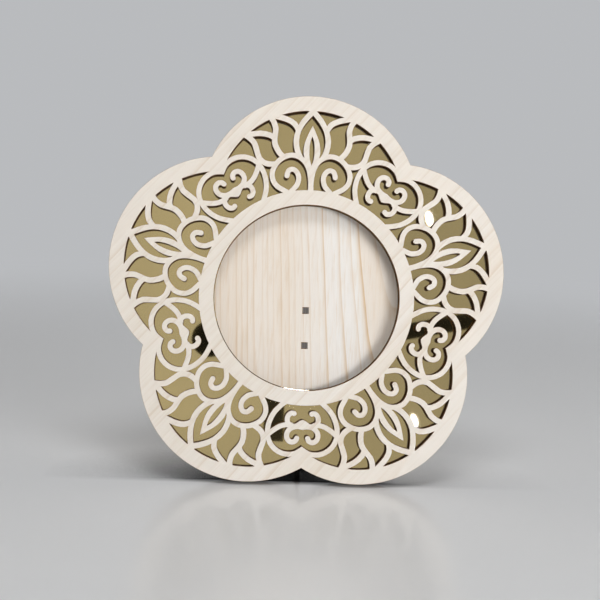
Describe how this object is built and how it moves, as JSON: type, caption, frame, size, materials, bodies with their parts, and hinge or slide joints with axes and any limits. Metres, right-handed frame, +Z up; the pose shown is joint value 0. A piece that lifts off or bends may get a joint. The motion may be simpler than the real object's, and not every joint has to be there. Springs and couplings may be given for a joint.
{
  "type": "photo frame",
  "caption": "Flower-shaped standing photo frame: openwork plywood front over a gold mirror sheet, a round window with a print slot behind it, and a plug-in leg.",
  "frame": {"origin": "middle of the standing frame's box, on the surface that it stands on", "axes": "+Z up, -Y out of the front, +X to the right as seen from the front; the frame leans back 10 degrees"},
  "size_m": [0.1954, 0.0494, 0.1901],
  "materials": {
    "front_wood": "bare pale plywood, faint slanting grain, charred laser-cut edges",
    "board_wood": "bare pale plywood with upright tan grain",
    "gold_mirror": "mirror-backed gold acrylic"
  },
  "bodies": {
    "frame": {"front_panel": "front_wood", "mirror_sheet": "gold_mirror", "print_spacer": "front_wood", "back_board": "board_wood"},
    "leg": {"stand_leg": "board_wood"}
  },
  "joints": [
    {"name": "leg_pull", "type": "slide", "parent": "frame", "child": "leg", "axis": [0, 0.9848, -0.1736], "range_m": [0, 0.012]}
  ]
}
